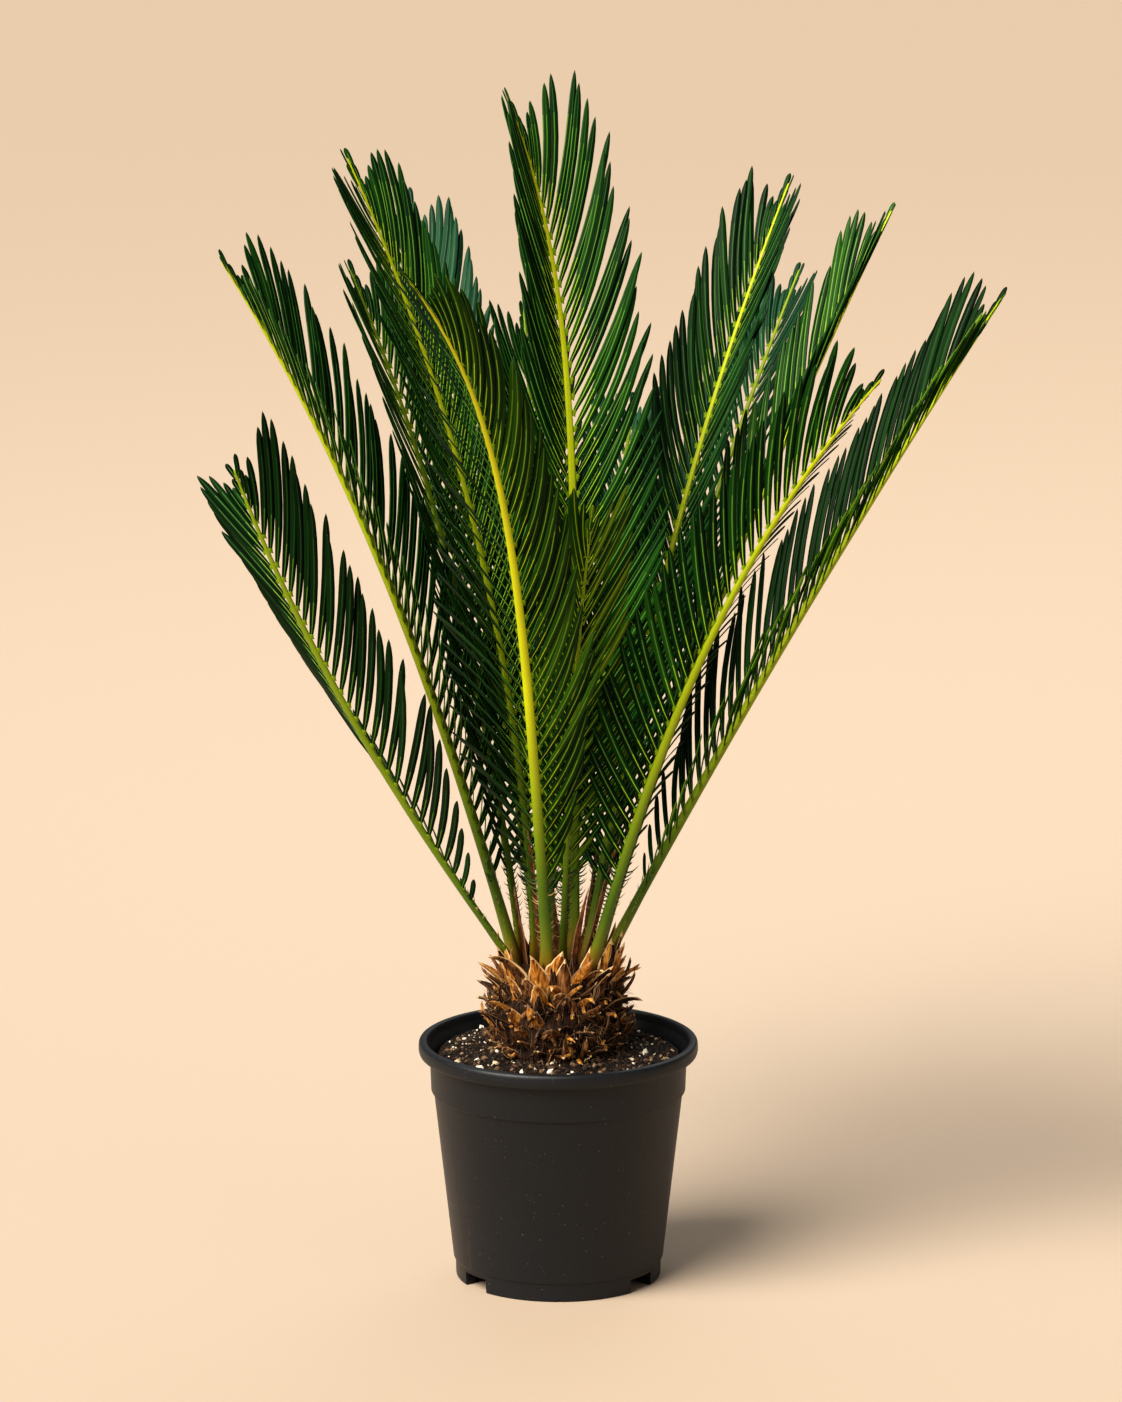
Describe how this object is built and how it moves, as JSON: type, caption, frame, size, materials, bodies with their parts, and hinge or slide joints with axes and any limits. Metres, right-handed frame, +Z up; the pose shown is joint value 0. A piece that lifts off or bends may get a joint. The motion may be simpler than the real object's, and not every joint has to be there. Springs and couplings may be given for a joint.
{
  "type": "potted sago palm",
  "caption": "Young sago palm with a short scaly trunk and an open crown of stiff feather fronds, in a round tapered nursery pot.",
  "frame": {"origin": "middle of the flat floor disc under the pot, the face it stands on", "axes": "+Z up through the trunk, front of the picture is -Y, +X to the picture's right"},
  "size_m": [0.2945, 0.295, 0.4467],
  "materials": {
    "pot_plastic": "satin black moulded plastic, fine grain",
    "potting_soil": "dark moist potting mix with bark, fibre and pale granules",
    "old_leaf_bases": "dry fibrous brown leaf bases",
    "frond_green": "glossy dark green, stiff leaflets on a yellow-green rib",
    "frond_blue_green": "duller blue-green, stiff leaflets"
  },
  "bodies": {
    "root": {"pot": "pot_plastic", "soil": "potting_soil", "caudex": "old_leaf_bases", "frond_back": "frond_blue_green", "frond_back_inner": "frond_blue_green", "frond_back_left": "frond_blue_green", "frond_back_left_low": "frond_blue_green", "frond_back_right": "frond_blue_green", "frond_front": "frond_green", "frond_front_right": "frond_green", "frond_inner": "frond_green", "frond_left": "frond_green", "frond_left_low": "frond_green", "frond_left_tall": "frond_green", "frond_right": "frond_green", "frond_right_low": "frond_green", "frond_right_tall": "frond_green", "frond_top": "frond_green"}
  },
  "joints": []
}
